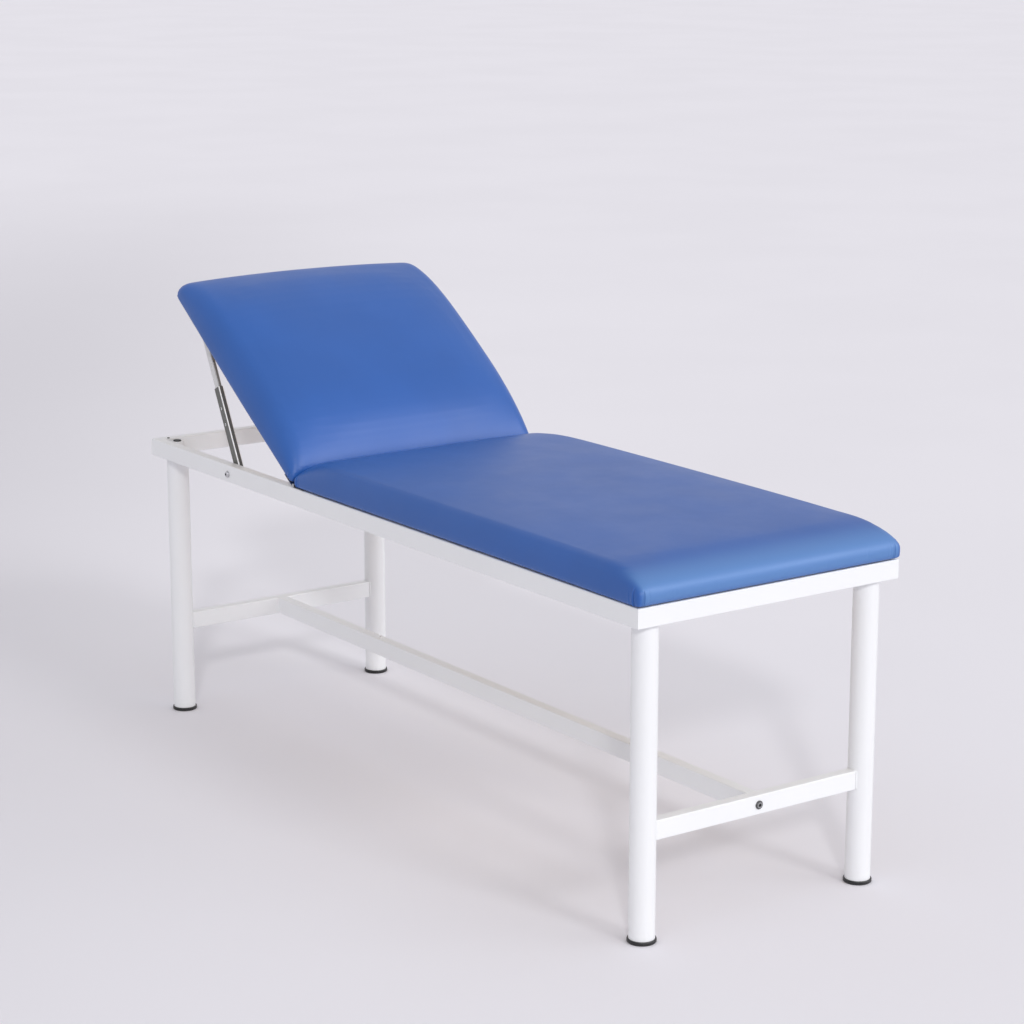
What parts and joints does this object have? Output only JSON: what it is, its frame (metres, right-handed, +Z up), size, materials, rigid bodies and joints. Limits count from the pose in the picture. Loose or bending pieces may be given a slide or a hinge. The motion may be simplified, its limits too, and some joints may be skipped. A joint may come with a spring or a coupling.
{
  "type": "examination table",
  "caption": "Padded examination table on a steel tube frame with round legs and a backrest that ratchet struts hold up.",
  "frame": {"origin": "on the floor under the middle of the table", "axes": "+Z up, +X from the head end to the foot end, -Y towards the near long side"},
  "size_m": [1.9, 0.666, 1.0755],
  "materials": {
    "frame_paint": "satin white powder coat",
    "vinyl": "smooth satin blue vinyl",
    "plastic_black": "moulded black plastic",
    "rubber_black": "matt black rubber",
    "zinc_steel": "bright zinc plate",
    "black_steel": "black oxide",
    "plywood": "sanded plywood",
    "foam": "cut foam"
  },
  "bodies": {
    "frame": {"side_rail_near": "frame_paint", "side_rail_far": "frame_paint", "head_rail": "frame_paint", "foot_rail": "frame_paint", "cross_members": "frame_paint", "corner_plates": "frame_paint", "corner_bosses": "frame_paint", "leg_bolts": "zinc_steel", "boss_caps": "plastic_black", "rest_buffers": "rubber_black", "leg_head_near": "frame_paint", "leg_head_far": "frame_paint", "leg_foot_near": "frame_paint", "leg_foot_far": "frame_paint", "leg_plates": "zinc_steel", "glide_head_near": "plastic_black", "glide_head_far": "plastic_black", "glide_foot_near": "plastic_black", "glide_foot_far": "plastic_black", "head_stretcher": "frame_paint", "foot_stretcher": "frame_paint", "long_stretcher": "frame_paint", "stretcher_plates": "zinc_steel", "stretcher_bolt_head": "black_steel", "stretcher_bolt_foot": "black_steel", "stretcher_plug": "frame_paint", "seat_board": "plywood", "seat_foam": "foam", "seat_cover": "vinyl", "seat_pads": "rubber_black", "seat_screws": "zinc_steel", "hinge_fixed_leaves": "zinc_steel", "hinge_pins": "zinc_steel", "hinge_rail_screws": "zinc_steel", "strut_bolts": "zinc_steel", "strut_spacers": "zinc_steel", "strut_nuts": "zinc_steel"},
    "backrest": {"back_board": "plywood", "back_foam": "foam", "back_cover": "vinyl", "hinge_moving_leaves": "zinc_steel", "hinge_board_screws": "zinc_steel", "strut_bracket_near": "zinc_steel", "strut_bracket_far": "zinc_steel", "strut_bracket_screws": "zinc_steel"},
    "channel_near": {"strut_outer_near": "zinc_steel", "ratchet_spring_near": "zinc_steel"},
    "channel_far": {"strut_outer_far": "zinc_steel", "ratchet_spring_far": "zinc_steel"},
    "bar_near": {"strut_inner_near": "zinc_steel", "strut_pin_near": "zinc_steel"},
    "bar_far": {"strut_inner_far": "zinc_steel", "strut_pin_far": "zinc_steel"}
  },
  "joints": [
    {"name": "backrest_hinge", "type": "hinge", "parent": "frame", "child": "backrest", "pos_m": [-0.29, 0, 0.679], "axis": [0, 1, 0], "range_deg": [-35, 0]},
    {"name": "strut_swing_near", "type": "hinge", "parent": "frame", "child": "channel_near", "pos_m": [-0.58, -0.2915, 0.6528], "axis": [0, 1, 0], "range_deg": [-61.2, 0]},
    {"name": "strut_slide_near", "type": "slide", "parent": "channel_near", "child": "bar_near", "axis": [-0.4519, 0, 0.8921], "range_m": [-0.11, 0]},
    {"name": "strut_swing_far", "type": "hinge", "parent": "frame", "child": "channel_far", "pos_m": [-0.58, 0.2915, 0.6528], "axis": [0, 1, 0], "range_deg": [-61.2, 0]},
    {"name": "strut_slide_far", "type": "slide", "parent": "channel_far", "child": "bar_far", "axis": [-0.4519, 0, 0.8921], "range_m": [-0.11, 0]}
  ],
  "couplings": [
    {"joint": "strut_swing_near", "follows": "backrest_hinge", "ratio": 1.7471},
    {"joint": "strut_slide_near", "follows": "backrest_hinge", "m_per_rad": 0.18007},
    {"joint": "strut_swing_far", "follows": "backrest_hinge", "ratio": 1.7471},
    {"joint": "strut_slide_far", "follows": "backrest_hinge", "m_per_rad": 0.18007}
  ]
}
